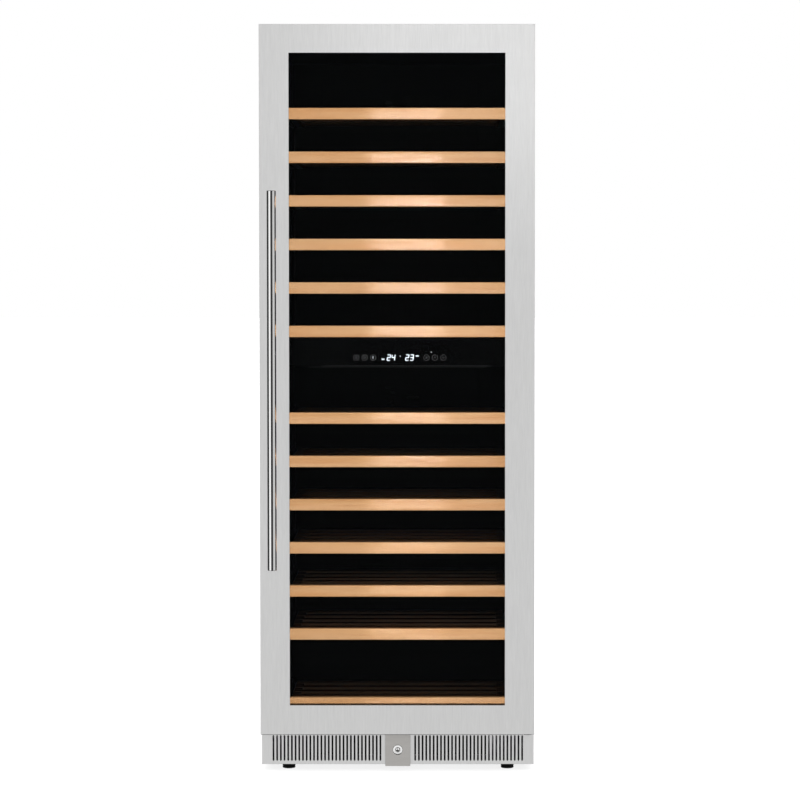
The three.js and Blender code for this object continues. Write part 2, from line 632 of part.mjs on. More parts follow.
// a flat ear with a round nose and an upright pin at the origin, its tail running back
function hingePlate(thick, pinLow, pinHigh) {
  const nose = rodZ(HINGE.ear, 0, 0, 0, thick, 24);
  const tail = block(both(HINGE.tailHalf), [0, HINGE.tail], [0, thick]);
  const pin = rodZ(PIN.radius, 0, 0, pinLow, pinHigh);
  return join(nose, tail, pin);
}
const topHinge = part(cabinet, 'hinge_bracket_top', hingePlate(HINGE.plate, -PIN.long, 1), darkSteel);
topHinge.position.set(HINGE.x, HINGE.y, CABINET_TOP + GAP);

const lowPlateZ = DOOR_BOTTOM - GAP - HINGE.plate;
const lowLeg = block([HINGE_LEG.inner, HINGE.tailHalf], [HINGE.tail - HINGE_LEG.long, HINGE.tail],
  [HINGE_LEG.low, 1]);
const lowHinge = part(cabinet, 'hinge_bracket_bottom',
  join(hingePlate(HINGE.plate, 1, PIN.long + 1), lowLeg), darkSteel);
lowHinge.position.set(HINGE.x, HINGE.y, lowPlateZ);

export default cooler;
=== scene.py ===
# The looks of a tall two-zone wine cooler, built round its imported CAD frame. Metres, +Z up, front at -Y.
import math

import bmesh
import bpy
from mathutils import Matrix, Vector


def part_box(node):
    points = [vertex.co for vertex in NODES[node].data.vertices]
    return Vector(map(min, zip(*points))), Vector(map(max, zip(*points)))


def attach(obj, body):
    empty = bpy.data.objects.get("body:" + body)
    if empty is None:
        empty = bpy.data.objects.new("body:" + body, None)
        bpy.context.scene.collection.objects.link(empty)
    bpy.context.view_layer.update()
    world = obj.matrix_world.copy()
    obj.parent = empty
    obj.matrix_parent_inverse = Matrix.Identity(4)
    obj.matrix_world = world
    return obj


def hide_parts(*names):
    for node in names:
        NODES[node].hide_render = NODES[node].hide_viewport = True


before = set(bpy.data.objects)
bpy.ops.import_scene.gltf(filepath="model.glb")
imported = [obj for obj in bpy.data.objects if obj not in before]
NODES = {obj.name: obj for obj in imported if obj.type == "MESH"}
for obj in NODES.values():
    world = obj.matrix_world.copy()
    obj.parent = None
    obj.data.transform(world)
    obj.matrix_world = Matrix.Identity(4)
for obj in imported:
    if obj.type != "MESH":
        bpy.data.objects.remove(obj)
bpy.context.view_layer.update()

MM = 0.001


# ---- places worked out from the frame -----------------------------------------------------------

def corners(node):
    """The lowest and highest corner of a CAD node."""
    low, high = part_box(node)
    return Vector(low), Vector(high)


SKIN_LOW, SKIN_HIGH = corners("door_skin")
PANEL_LOW, PANEL_HIGH = corners("control_panel")
HANDLE_LOW, HANDLE_HIGH = corners("handle")
DOOR_FRONT = SKIN_LOW.y
SHELF_NAMES = [f"shelf_{number:02d}" for number in range(1, 14)]
FOOT_NAMES = [f"foot_{end}_{side}" for end in ("front", "back") for side in ("left", "right")]


# ---- camera -------------------------------------------------------------------------------------

CAMERA_BACK = 7.136  # from the door's front plane
CAMERA_X = 0.12
CAMERA_Z = 1.223
CAMERA_PITCH = -0.0455  # radians; negative looks down
CAMERA_SHIFT = -0.0594  # share of the picture's width
CAMERA_FAR = 200
LENS = 134.9  # millimetres
SENSOR = 36  # millimetres


def add_camera():
    data = bpy.data.cameras.new("camera")
    data.sensor_width = SENSOR
    data.lens = LENS
    data.shift_x = CAMERA_SHIFT
    data.clip_end = CAMERA_FAR
    camera = bpy.data.objects.new("camera", data)
    camera.location = (CAMERA_X, DOOR_FRONT - CAMERA_BACK, CAMERA_Z)
    camera.rotation_euler = (math.pi / 2 + CAMERA_PITCH, 0, 0)
    bpy.context.scene.collection.objects.link(camera)
    bpy.context.scene.camera = camera


# ---- material helpers ---------------------------------------------------------------------------

class Shader:
    """A node material with one Principled shader and a few short ways to feed it."""

    def __init__(self, name, color, roughness, metallic=0.0, **constants):
        self.material = bpy.data.materials.new(name)
        self.material.use_nodes = True
        self.tree = self.material.node_tree
        self.shader = self.tree.nodes["Principled BSDF"]
        self.set("Base Color", (*color, 1))
        self.set("Roughness", roughness)
        self.set("Metallic", metallic)
        for socket, value in constants.items():
            self.set(socket.replace("_", " "), value)

    def set(self, socket, value):
        self.shader.inputs[socket].default_value = value

    def node(self, kind, **settings):
        made = self.tree.nodes.new(kind)
        for key, value in settings.items():
            setattr(made, key, value)
        return made

    def link(self, output, target):
        self.tree.links.new(output, target)

    def place(self, scale):
        """Object coordinates stretched by a scale for each axis."""
        coordinates = self.node("ShaderNodeTexCoord")
        mapping = self.node("ShaderNodeMapping")
        mapping.inputs["Scale"].default_value = scale
        self.link(coordinates.outputs["Object"], mapping.inputs["Vector"])
        return mapping.outputs["Vector"]

    def noise(self, scale, detail=3.0, roughness=0.5):
        """Noise over object coordinates, as one number from 0 to 1."""
        texture = self.node("ShaderNodeTexNoise")
        texture.inputs["Scale"].default_value = 1.0
        texture.inputs["Detail"].default_value = detail
        texture.inputs["Roughness"].default_value = roughness
        self.link(self.place(scale), texture.inputs["Vector"])
        return texture.outputs["Fac"]

    def ramp(self, value, stops):
        """A colour ramp: stops are pairs of a position and a colour or a grey."""
        ramp = self.node("ShaderNodeValToRGB")
        points = ramp.color_ramp.elements
        while len(points) < len(stops):
            points.new(0.5)
        for point, (position, shade) in zip(points, stops):
            point.position = position
            point.color = (*shade, 1) if isinstance(shade, tuple) else (shade, shade, shade, 1)
        self.link(value, ramp.inputs["Fac"])
        return ramp.outputs["Color"]

    def spread(self, value, low, high):
        """A 0 to 1 number moved to run from low to high."""
        span = self.node("ShaderNodeMapRange")
        span.inputs["To Min"].default_value = low
        span.inputs["To Max"].default_value = high
        self.link(value, span.inputs["Value"])
        return span.outputs["Result"]

    def multiply(self, first, second, share=1.0):
        """One colour multiplied by another; share is how much of that shows."""
        mixer = self.node("ShaderNodeMix", data_type="RGBA", blend_type="MULTIPLY")
        for socket, output in (("A", first), ("B", second)):
            target = next(i for i in mixer.inputs if i.name == socket and i.type == "RGBA")
            self.link(output, target)
        mixer.inputs["Factor"].default_value = share
        return next(o for o in mixer.outputs if o.type == "RGBA")

    def feed(self, socket, output):
        self.link(output, self.shader.inputs[socket])

    def bump(self, height, strength, distance):
        """Relief from a height, stacked on any relief that is already there."""
        bump = self.node("ShaderNodeBump")
        bump.inputs["Strength"].default_value = strength
        bump.inputs["Distance"].default_value = distance
        self.link(height, bump.inputs["Height"])
        normal = self.shader.inputs["Normal"]
        if normal.is_linked:
            self.link(normal.links[0].from_socket, bump.inputs["Normal"])
        self.link(bump.outputs["Normal"], normal)


# ---- materials ----------------------------------------------------------------------------------

def brushed_steel(name, color, along, roughness):
    """Stainless sheet brushed along one axis (0 for X, 2 for Z)."""
    steel = Shader(name, color, roughness, 1.0)
    fine = [1100.0, 1100.0, 1100.0]
    broad = [210.0, 210.0, 210.0]
    fine[along] = 30.0
    broad[along] = 14.0
    lines = steel.noise(fine, 3.0, 0.6)
    dashes = steel.noise(broad, 2.0)
    cloud = steel.noise((3.0, 3.0, 3.0), 2.0)
    dark = tuple(0.96 * part for part in color)
    light = tuple(min(1.0, 1.04 * part) for part in color)
    grain = steel.ramp(lines, [(0.3, dark), (0.7, light)])
    worn = steel.ramp(dashes, [(0.3, 0.955), (0.7, 1.0)])
    steel.feed("Base Color", steel.multiply(grain, worn))
    steel.feed("Roughness", steel.spread(cloud, roughness - 0.02, roughness + 0.04))
    steel.bump(lines, 0.1, 0.00005)
    return steel.material


def polished_steel():
    steel = Shader("polished_steel", (0.9, 0.9, 0.895), 0.06, 1.0)
    smear = steel.noise((30.0, 30.0, 6.0), 3.0)
    steel.feed("Roughness", steel.spread(smear, 0.04, 0.1))
    steel.bump(steel.noise((1500.0, 1500.0, 40.0), 2.0), 0.03, 0.00002)
    return steel.material


def painted_steel(name, color):
    """Powder-coated sheet with a fine orange peel."""
    paint = Shader(name, color, 0.42)
    peel = paint.noise((900.0, 900.0, 900.0), 2.0)
    broad = paint.noise((6.0, 6.0, 4.0), 3.0)
    lighter = tuple(1.35 * part for part in color)
    paint.feed("Base Color", paint.ramp(broad, [(0.35, color), (0.7, lighter)]))
    paint.feed("Roughness", paint.spread(broad, 0.36, 0.5))
    paint.bump(peel, 0.25, 0.0002)
    return paint.material


def moulded_plastic(name, color, roughness, shine=0.5):
    """Black ABS with a spark-eroded texture."""
    plastic = Shader(name, color, roughness, 0.0, Specular_IOR_Level=shine)
    stipple = plastic.noise((1800.0, 1800.0, 1800.0), 2.0)
    broad = plastic.noise((12.0, 12.0, 12.0), 3.0)
    plastic.feed("Roughness", plastic.spread(broad, roughness - 0.06, roughness + 0.08))
    plastic.bump(stipple, 0.2, 0.0001)
    return plastic.material


def gloss_black():
    gloss = Shader("gloss_black", (0.004, 0.004, 0.0045), 0.07)
    gloss.feed("Roughness", gloss.spread(gloss.noise((20.0, 20.0, 20.0), 2.0), 0.05, 0.1))
    return gloss.material


def soft_rubber():
    rubber = Shader("soft_rubber", (0.012, 0.012, 0.013), 0.6)
    grain = rubber.noise((2200.0, 2200.0, 2200.0), 2.0)
    rubber.feed("Roughness", rubber.spread(rubber.noise((25.0, 25.0, 25.0)), 0.5, 0.75))
    rubber.bump(grain, 0.3, 0.0001)
    return rubber.material


def pale_foam():
    foam = Shader("pale_foam", (0.78, 0.7, 0.5), 0.9)
    cells = foam.noise((500.0, 500.0, 500.0), 3.0)
    foam.feed("Base Color", foam.ramp(cells, [(0.3, (0.68, 0.59, 0.39)), (0.7, (0.84, 0.77, 0.58))]))
    foam.bump(cells, 0.5, 0.0006)
    return foam.material


def clear_pane():
    """Faintly tinted glass, mostly see-through."""
    pane = Shader("clear_pane", (0.012, 0.014, 0.016), 0.03)
    pane.set("Alpha", 0.13)
    return pane.material


def beech(name, along, painted_shade=1.0):
    """Oiled beech with its grain along one axis: soft streaks and short dark flecks.

    A value under 1 for the last argument darkens it all over, as painted shade.
    """
    wood = Shader(name, (0.8, 0.46, 0.21), 0.42, 0.0, Coat_Weight=0.2, Coat_Roughness=0.18)
    streak = [42.0, 42.0, 42.0]
    fleck = [900.0, 900.0, 900.0]
    fine = [2600.0, 2600.0, 2600.0]
    streak[along] = 2.2
    fleck[along] = 110.0
    fine[along] = 30.0
    streaks = wood.noise(streak, 4.0, 0.6)
    boards = wood.noise((1.3, 1.3, 9.7), 1.0)
    flecks = wood.noise(fleck, 1.0)
    fibres = wood.noise(fine, 3.0, 0.7)
    base = wood.ramp(streaks, [
        (0.25, (0.72, 0.333, 0.12)), (0.42, (0.865, 0.445, 0.18)),
        (0.58, (0.94, 0.535, 0.25)), (0.8, (0.79, 0.383, 0.143))])
    # Board tone that differs at random, multiplied by the last argument: where that is under 1, this is
    # painted shade
    board_tone_and_shade = wood.multiply(base, wood.ramp(boards, [(0.3, 0.93 * painted_shade), (0.7, 1.05 * painted_shade)]))
    marked = wood.multiply(board_tone_and_shade, wood.ramp(flecks, [(0.3, 0.72), (0.37, 1.0)]), 0.55)
    fibred = wood.multiply(marked, wood.ramp(fibres, [(0.3, 0.93), (0.7, 1.03)]))
    wood.feed("Base Color", fibred)
    wood.feed("Roughness", wood.spread(streaks, 0.36, 0.52))
    wood.bump(fibres, 0.15, 0.0001)
    wood.bump(flecks, 0.08, 0.0001)
    return wood.material


def bare_aluminium():
    metal = Shader("bare_aluminium", (0.72, 0.73, 0.75), 0.38, 1.0)
    drawn = metal.noise((700.0, 700.0, 12.0), 3.0)
    metal.feed("Roughness", metal.spread(drawn, 0.3, 0.48))
    metal.bump(drawn, 0.15, 0.0001)
    return metal.material


def zinc_plate():
    """Galvanised sheet with faint crystals."""
    metal = Shader("zinc_plate", (0.6, 0.62, 0.64), 0.4, 1.0)
    crystals = metal.node("ShaderNodeTexVoronoi")
    crystals.inputs["Scale"].default_value = 1.0
    metal.link(metal.place((140.0, 140.0, 140.0)), crystals.inputs["Vector"])
    shade = crystals.outputs["Distance"]
    metal.feed("Base Color", metal.ramp(shade, [(0.1, (0.55, 0.57, 0.59)), (0.8, (0.68, 0.7, 0.72))]))
    metal.feed("Roughness", metal.spread(shade, 0.32, 0.5))
    return metal.material


def copper_pipe():
    metal = Shader("copper_pipe", (0.72, 0.34, 0.2), 0.3, 1.0)
    dull = metal.noise((60.0, 60.0, 60.0), 3.0)
    metal.feed("Base Color", metal.ramp(dull, [(0.35, (0.45, 0.2, 0.12)), (0.65, (0.75, 0.36, 0.22))]))
    metal.feed("Roughness", metal.spread(dull, 0.25, 0.5))
    return metal.material


def glowing(name, color, strength):
    """A lit display segment or lamp cover; the glow is a little uneven."""
    glow = Shader(name, color, 0.4, 0.0, Emission_Strength=strength)
    uneven = glow.noise((90.0, 90.0, 90.0), 1.0)
    shade = tuple(0.9 * part for part in color)
    glow.feed("Emission Color", glow.ramp(uneven, [(0.3, shade), (0.7, color)]))
    return glow.material


STEEL = brushed_steel("door_steel", (0.80, 0.80, 0.797), 2, 0.3)
LOCK_STEEL = brushed_steel("lock_steel", (0.56, 0.545, 0.525), 0, 0.34)
POLISHED = polished_steel()
PAINT = painted_steel("black_paint", (0.012, 0.012, 0.013))
PLASTIC = moulded_plastic("black_plastic", (0.006, 0.006, 0.0065), 0.5)
LINER = moulded_plastic("liner_plastic", (0.003, 0.003, 0.0034), 0.42, 0.2)
GLOSS = gloss_black()
RUBBER = soft_rubber()
FOAM = pale_foam()
PANE = clear_pane()
WOOD_X = beech("beech_cross", 0)
# The slats and rails are beech at half brightness: painted shade for the shade inside the cabinet, not a
# darker wood
SHADED_SLAT_WOOD = beech("beech_slats", 0, 0.5)
SHADED_RAIL_WOOD = beech("beech_rails", 1, 0.5)
ALUMINIUM = bare_aluminium()
ZINC = zinc_plate()
COPPER = copper_pipe()
DIGIT = glowing("digit_white", (0.86, 0.93, 1.0), 2.2)
LAMP = moulded_plastic("lamp_cover", (0.012, 0.012, 0.014), 0.3)
INK = glowing("key_grey", (0.5, 0.5, 0.52), 0.3)
LIP_STEEL = brushed_steel("lip_steel", (0.13, 0.13, 0.135), 0, 0.3)


# ---- mesh helpers -------------------------------------------------------------------------------

def add_box(shape, low, high, bevel=0.0, material=0):
    """A box between two corners, its edges rounded by bevel."""
    low, high = Vector(low), Vector(high)
    made = bmesh.ops.create_cube(shape, size=1.0)["verts"]
    size = high - low
    bmesh.ops.scale(shape, vec=size, verts=made)
    bmesh.ops.translate(shape, vec=(low + high) / 2, verts=made)
    faces = {face for vert in made for face in vert.link_faces}
    if bevel:
        edges = {edge for vert in made for edge in vert.link_edges}
        result = bmesh.ops.bevel(shape, geom=list(edges), offset=bevel, segments=2, affect="EDGES",
                                 profile=0.5)
        faces = {face for face in faces if face.is_valid} | set(result["faces"])
    for face in faces:
        face.material_index = material
    return faces


AXES = {"X": Matrix.Rotation(math.pi / 2, 4, "Y"), "Y": Matrix.Rotation(-math.pi / 2, 4, "X"),
        "Z": Matrix.Identity(4)}


def add_lathe(shape, profile, centre, axis="Z", sides=48):
    """A closed solid turned from (radius, height) pairs that start and end on the axis."""
    place = Matrix.Translation(Vector(centre)) @ AXES[axis]
    rings = []
    for radius, height in profile:
        if radius < 1e-9:
            rings.append([shape.verts.new(place @ Vector((0, 0, height)))])
            continue
        ring = []
        for side in range(sides):
            angle = 2 * math.pi * side / sides
            point = Vector((radius * math.cos(angle), radius * math.sin(angle), height))
            ring.append(shape.verts.new(place @ point))
        rings.append(ring)
    for lower, upper in zip(rings, rings[1:]):
        for side in range(sides):
            after = (side + 1) % sides
            if len(lower) == 1:
                corner = [lower[0], upper[side], upper[after]]
            elif len(upper) == 1:
                corner = [lower[side], lower[after], upper[0]]
            else:
                corner = [lower[side], lower[after], upper[after], upper[side]]
            shape.faces.new(corner)


def add_screw(shape, centre, axis, radius):
    """A pan-head screw with a dished recess, its head facing along the axis."""
    head = 2.2 * MM
    add_lathe(shape, [
        (0, 0), (radius, 0), (radius, 0.4 * head), (0.72 * radius, 0.85 * head),
        (0.3 * radius, head), (0.22 * radius, 0.5 * head), (0, 0.45 * head)], centre, axis, 20)


def finish_mesh(name, shape, materials, body, smooth=32, weighted=True):
    """Turns a bmesh into an object that rides on a body."""
    bmesh.ops.recalc_face_normals(shape, faces=shape.faces[:])
    mesh = bpy.data.meshes.new(name)
    shape.to_mesh(mesh)
    shape.free()
    for material in materials if isinstance(materials, (list, tuple)) else [materials]:
        mesh.materials.append(material)
    mesh.polygons.foreach_set("use_smooth", [True] * len(mesh.polygons))
    mesh.set_sharp_from_angle(angle=math.radians(smooth))
    piece = bpy.data.objects.new(name, mesh)
    bpy.context.scene.collection.objects.link(piece)
    if weighted:
        normals = piece.modifiers.new("weighted_normals", "WEIGHTED_NORMAL")
        normals.keep_sharp = True
    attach(piece, body)
    return piece


# ---- CAD nodes that stay, with their finish and rounded edges -----------------------------------

def dress(node, material, bevel=0.0):
    """Gives a CAD node its material, and rounds its edges by bevel metres."""
    piece = NODES[node]
    piece.data.materials.clear()
    piece.data.materials.append(material)
    if bevel:
        weld = piece.modifiers.new("weld", "WELD")
        weld.merge_threshold = 1e-5
        rounded = piece.modifiers.new("rounded", "BEVEL")
        rounded.width = bevel
        rounded.segments = 2
        rounded.limit_method = "ANGLE"
        rounded.angle_limit = math.radians(40)
        rounded.harden_normals = False


def dress_frame_nodes():
    finishes = [
        (STEEL, 0.5 * MM, ["door_skin"]),
        (STEEL, 0.3 * MM, ["plinth_grille"]),
        (LOCK_STEEL, 0.5 * MM, ["lock_plate"]),
        (PAINT, 0.3 * MM, ["side_panel_left", "side_panel_right", "top_panel", "back_panel"]),
        (PAINT, 0.3 * MM, ["rear_cover", "hinge_bracket_top", "hinge_bracket_bottom"]),
        (PAINT, 1.5 * MM, ["compressor"]),
        (PLASTIC, 1.0 * MM, ["front_frame", "door_core", "mains_inlet", "zone_divider", "fan_bracket"]),
        (PLASTIC, 0.4 * MM, ["fan_upper", "fan_lower", "condenser_fan"]),
        (LINER, 0.6 * MM, ["liner_upper", "liner_lower", "duct_cover_upper", "duct_cover_lower"]),
        (GLOSS, 0.8 * MM, ["control_panel", "glass_spacer"]),
        (PANE, 0.0, ["outer_pane", "inner_pane"]),
        (FOAM, 0.0, ["insulation_foam"]),
        (ALUMINIUM, 0.2 * MM, ["evaporator_upper", "evaporator_lower"]),
        (PAINT, 0.2 * MM, ["condenser"]),
        (ZINC, 0.3 * MM, ["base_pan", "lock_bolt", "door_strike"]),
        (PAINT, 0.5 * MM, ["runner_upper_left", "runner_upper_right"]),
        (PAINT, 0.5 * MM, ["runner_lower_left", "runner_lower_right"]),
        (LAMP, 1.5 * MM, ["light_bar_upper", "light_bar_lower"]),
    ]
    for material, bevel, nodes in finishes:
        for node in nodes:
            dress(node, material, bevel)


# ---- handle -------------------------------------------------------------------------------------

def make_handle():
    radius = (HANDLE_HIGH.x - HANDLE_LOW.x) / 2
    x = (HANDLE_HIGH.x + HANDLE_LOW.x) / 2
    y = HANDLE_LOW.y + radius
    edge = 1.2 * MM
    long = HANDLE_HIGH.z - HANDLE_LOW.z
    rounding = [(radius - edge + edge * math.sin(a), edge - edge * math.cos(a))
                for a in (math.pi / 2 * step / 4 for step in range(5))]
    profile = [(0, 0)] + rounding + [(r, long - h) for r, h in reversed(rounding)] + [(0, long)]
    bar = bmesh.new()
    add_lathe(bar, profile, (x, y, HANDLE_LOW.z), "Z", 96)
    piece = finish_mesh("handle_bar", bar, POLISHED, "door")
    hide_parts("handle")
    post_inset = 80 * MM
    post = 7 * MM
    reach = DOOR_FRONT - y - 0.3 * MM
    for name, z in (("upper", HANDLE_HIGH.z - post_inset), ("lower", HANDLE_LOW.z + post_inset)):
        shape = bmesh.new()
        add_lathe(shape, [
            (0, 0.6 * radius), (post, 0.6 * radius), (post, reach - 4 * MM),
            (post + 1.5 * MM, reach - 3 * MM), (post + 2 * MM, reach - 1.5 * MM),
            (post + 2 * MM, reach), (0, reach)], (x, y, z), "Y", 48)
        finish_mesh(f"handle_post_{name}", shape, POLISHED, "door")


# ---- door gasket --------------------------------------------------------------------------------

def make_gasket():
    """A bellows seal with a magnet strip, swept round the door's back with mitred corners."""
    low, high = corners("door_gasket")
    wide = 14 * MM
    deep = high.y - low.y
    outline = [
        (0.10, 0.0), (0.90, 0.0), (0.90, 0.18), (0.72, 0.26), (0.72, 0.40), (0.96, 0.50), (0.96, 0.60),
        (0.84, 0.66), (1.0, 0.72), (1.0, 1.0), (0.0, 1.0), (0.0, 0.72), (0.16, 0.66), (0.04, 0.60),
        (0.04, 0.50), (0.28, 0.40), (0.28, 0.26), (0.10, 0.18)]
    shape = bmesh.new()
    loops = []
    for across, depth in outline:
        inset = across * wide
        y = low.y + depth * deep
        loops.append([shape.verts.new((x, y, z)) for x, z in (
            (low.x + inset, low.z + inset), (high.x - inset, low.z + inset),
            (high.x - inset, high.z - inset), (low.x + inset, high.z - inset))])
    for index, loop in enumerate(loops):
        following = loops[(index + 1) % len(loops)]
        for corner in range(4):
            after = (corner + 1) % 4
            shape.faces.new([loop[corner], loop[after], following[after], following[corner]])
    piece = finish_mesh("door_gasket_bellows", shape, RUBBER, "door", 50, False)
    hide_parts("door_gasket")


def make_door_shadow_strip():
    """A thin black strip along the door's lower edge, which stops short of the hinge: a dark sheet put there
    as painted shadow for the shade line under the door.
    """
    strip = bmesh.new()
    inset = 1.5 * MM
    hang = 0.6 * MM
    overlap = 0.2 * MM
    hinge_gap = 28 * MM
    add_box(strip, (SKIN_LOW.x + inset, DOOR_FRONT + hang, SKIN_LOW.z - hang),
            (SKIN_HIGH.x - hinge_gap, SKIN_HIGH.y, SKIN_LOW.z + overlap), 0.2 * MM)
    finish_mesh("door_lower_strip", strip, PLASTIC, "door")


# ---- shelves ------------------------------------------------------------------------------------

FASCIA_THICK = 20 * MM
FASCIA_ROUND = 1.6 * MM
DECK_DROP = 10 * MM  # below the fascia's top edge
DECK_THICK = 15 * MM
DECK_SIDE_GAP = 3 * MM
DECK_RAIL = 20 * MM
SLAT = 34 * MM
SLAT_INSET = 1 * MM
SLAT_RISE = 3 * MM  # above the rails' lower face
SLAT_COUNT = 6
FEWER_SLATS = {"shelf_13": 5}  # the lowest shelf is less deep
RUNNER_GAP = 0.2 * MM
RUNNER_THICK = 1.2 * MM
RUNNER_LIP = 14 * MM
RUNNER_FRONT = 26 * MM  # behind the fascia's face
RUNNER_BACK = 12 * MM  # short of the deck's back


def make_shelf(name):
    """A beech fascia, two side rails and cross slats, with a steel runner member at each side."""
    low, high = corners(name)
    fascia = bmesh.new()
    add_box(fascia, low, (high.x, low.y + FASCIA_THICK, high.z), FASCIA_ROUND)
    piece = finish_mesh(f"{name}_fascia", fascia, WOOD_X, name)
    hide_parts(name)

    wood = bmesh.new()
    deck_top = high.z - DECK_DROP
    deck_low = deck_top - DECK_THICK
    half = high.x - DECK_SIDE_GAP
    tongue = 1 * MM
    deck_front = low.y + FASCIA_THICK - tongue
    rail_top = deck_top - 1.5 * MM
    for side in (-1, 1):
        inner, outer = sorted((side * (half - DECK_RAIL), side * half))
        add_box(wood, (inner, deck_front, deck_low), (outer, high.y, rail_top), 1.0 * MM, 1)
    count = FEWER_SLATS.get(name, SLAT_COUNT)
    space = (high.y - deck_front - count * SLAT) / (count - 1)
    slat_end = half - SLAT_INSET
    for index in range(count):
        front = deck_front + index * (SLAT + space)
        add_box(wood, (-slat_end, front, deck_low + SLAT_RISE), (slat_end, front + SLAT, deck_top), 1.5 * MM)
    # The deck takes the half-bright beech, which is painted shade
    finish_mesh(f"{name}_deck", wood, [SHADED_SLAT_WOOD, SHADED_RAIL_WOOD], name)

    steel = bmesh.new()
    front, back = low.y + RUNNER_FRONT, high.y - RUNNER_BACK
    outside = half + RUNNER_GAP + RUNNER_THICK
    web_low, web_top = deck_low + 1 * MM, deck_top - 3 * MM
    lip_top = deck_low - RUNNER_GAP
    edge_round = 0.3 * MM
    for side in (-1, 1):
        inner, outer = sorted((side * (half + RUNNER_GAP), side * outside))
        add_box(steel, (inner, front, web_low), (outer, back, web_top), edge_round)
        inner, outer = sorted((side * (half - RUNNER_LIP), side * outside))
        add_box(steel, (inner, front, lip_top - RUNNER_THICK), (outer, back, lip_top), edge_round)
    finish_mesh(f"{name}_runners", steel, ZINC, name)


# ---- control panel ------------------------------------------------------------------------------

SEGMENTS = {"2": "abged", "3": "abgcd", "4": "fgbc"}
DIGIT_WIDE = 7.0 * MM
DIGIT_HIGH = 13.0 * MM
DIGIT_STEP = 11.0 * MM
STROKE = 2.0 * MM
SLANT = 0.12
ROW_Z = 997 * MM  # height of the row of readouts and keys
INK_PROUD = 0.3 * MM
READOUTS = (("24", -15.7 * MM), ("23", 28.7 * MM))  # number and place across
BARS = ((-37 * MM, -4 * MM), (-33 * MM, -4 * MM), (45 * MM, 4 * MM), (49 * MM, 4 * MM))
DOTS = ((6.5 * MM, 3.5 * MM), (80.8 * MM, 12.8 * MM))
MENU_X, MODE_X, LAMP_X = -99.5 * MM, -79.3 * MM, -59 * MM
POWER_X, UP_X, DOWN_X = 69.4 * MM, 89.6 * MM, 110 * MM
KEY_LINE = 0.5 * MM
KEY_RADIUS = 6.6 * MM
LIP_LEFT, LIP_RIGHT = -183 * MM, 226 * MM


def stroke(shape, start, end, width, y):
    """A thin raised bar between two (x, z) points."""
    start, end = Vector(start), Vector(end)
    along = (end - start).normalized()
    across = Vector((-along.y, along.x)) * width / 2
    outline = [start + across, end + across, end - across, start - across]
    front = [shape.verts.new((p.x, y - INK_PROUD, p.y)) for p in outline]
    back = [shape.verts.new((p.x, y, p.y)) for p in outline]
    shape.faces.new(front)
    shape.faces.new(back[::-1])
    for index in range(4):
        after = (index + 1) % 4
        shape.faces.new([front[index], back[index], back[after], front[after]])


def circle(shape, centre, radius, width, y, sides=24, start=0.0, turn=2 * math.pi):
    """An arc drawn as short bars."""
    points = [(centre[0] + radius * math.cos(start + turn * step / sides),
               centre[1] + radius * math.sin(start + turn * step / sides)) for step in range(sides + 1)]
    for first, second in zip(points, points[1:]):
        stroke(shape, first, second, width, y)


def digit(shape, character, centre, y):
    half_wide, half_high = DIGIT_WIDE / 2, DIGIT_HIGH / 2
    ends = {
        "a": ((-1, 1), (1, 1)), "b": ((1, 1), (1, 0)), "c": ((1, 0), (1, -1)), "d": ((-1, -1), (1, -1)),
        "e": ((-1, 0), (-1, -1)), "f": ((-1, 1), (-1, 0)), "g": ((-1, 0), (1, 0))}
    for name in SEGMENTS[character]:
        points = []
        for across, up in ends[name]:
            z = up * half_high
            points.append((centre[0] + across * half_wide + SLANT * z, centre[1] + z))
        stroke(shape, *points, STROKE, y)


def mark(shape, x, z, wide, high, y):
    """A small lit rectangle centred on a point, with z counted from the row."""
    stroke(shape, (x - wide / 2, ROW_Z + z), (x + wide / 2, ROW_Z + z), high, y)


def make_readouts(y):
    """Two two-digit temperatures with small marks beside them."""
    lit = bmesh.new()
    for number, centre in READOUTS:
        for offset, character in zip((-0.5, 0.5), number):
            digit(lit, character, (centre + offset * DIGIT_STEP, ROW_Z), y)
    for x, z in BARS:
        mark(lit, x, z, 2.8 * MM, 3.2 * MM, y)
    for x, z in DOTS:
        mark(lit, x, z, 1.8 * MM, 1.8 * MM, y)
    finish_mesh("control_readouts", lit, DIGIT, "cabinet", weighted=False)


def make_touch_keys(y):
    """Six ringed touch keys: menu, mode, lamp, power, up and down."""
    ink = bmesh.new()
    for x in (MENU_X, MODE_X, LAMP_X, POWER_X, UP_X, DOWN_X):
        circle(ink, (x, ROW_Z), KEY_RADIUS, KEY_LINE, y)
    menu_half = 2.4 * MM
    for row in (-2, 0, 2):
        z = ROW_Z + row * MM
        stroke(ink, (MENU_X - menu_half, z), (MENU_X + menu_half, z), KEY_LINE, y)
    sign_radius = 2.0 * MM
    circle(ink, (MODE_X, ROW_Z), sign_radius, KEY_LINE, y, 16)
    gap_end, turn = math.radians(125), math.radians(290)
    circle(ink, (POWER_X, ROW_Z - 0.3 * MM), sign_radius, KEY_LINE, y, 16, gap_end, turn)
    stroke(ink, (POWER_X, ROW_Z), (POWER_X, ROW_Z + 2.6 * MM), KEY_LINE, y)
    arrow_half, arrow_foot, arrow_tip = 2.2 * MM, 1.1 * MM, 1.3 * MM
    for x, up in ((UP_X, 1), (DOWN_X, -1)):
        for side in (-1, 1):
            stroke(ink, (x + side * arrow_half, ROW_Z - up * arrow_foot), (x, ROW_Z + up * arrow_tip),
                   KEY_LINE, y)
    finish_mesh("control_keys", ink, INK, "cabinet", weighted=False)

    bright = bmesh.new()
    bulb_radius, bulb_up = 1.7 * MM, 0.8 * MM
    base_half, base_down = 1.1 * MM, 2.2 * MM
    circle(bright, (LAMP_X, ROW_Z + bulb_up), bulb_radius, KEY_LINE, y, 14)
    stroke(bright, (LAMP_X - base_half, ROW_Z - base_down), (LAMP_X + base_half, ROW_Z - base_down),
           KEY_LINE, y)
    finish_mesh("control_lamp_key", bright, DIGIT, "cabinet", weighted=False)


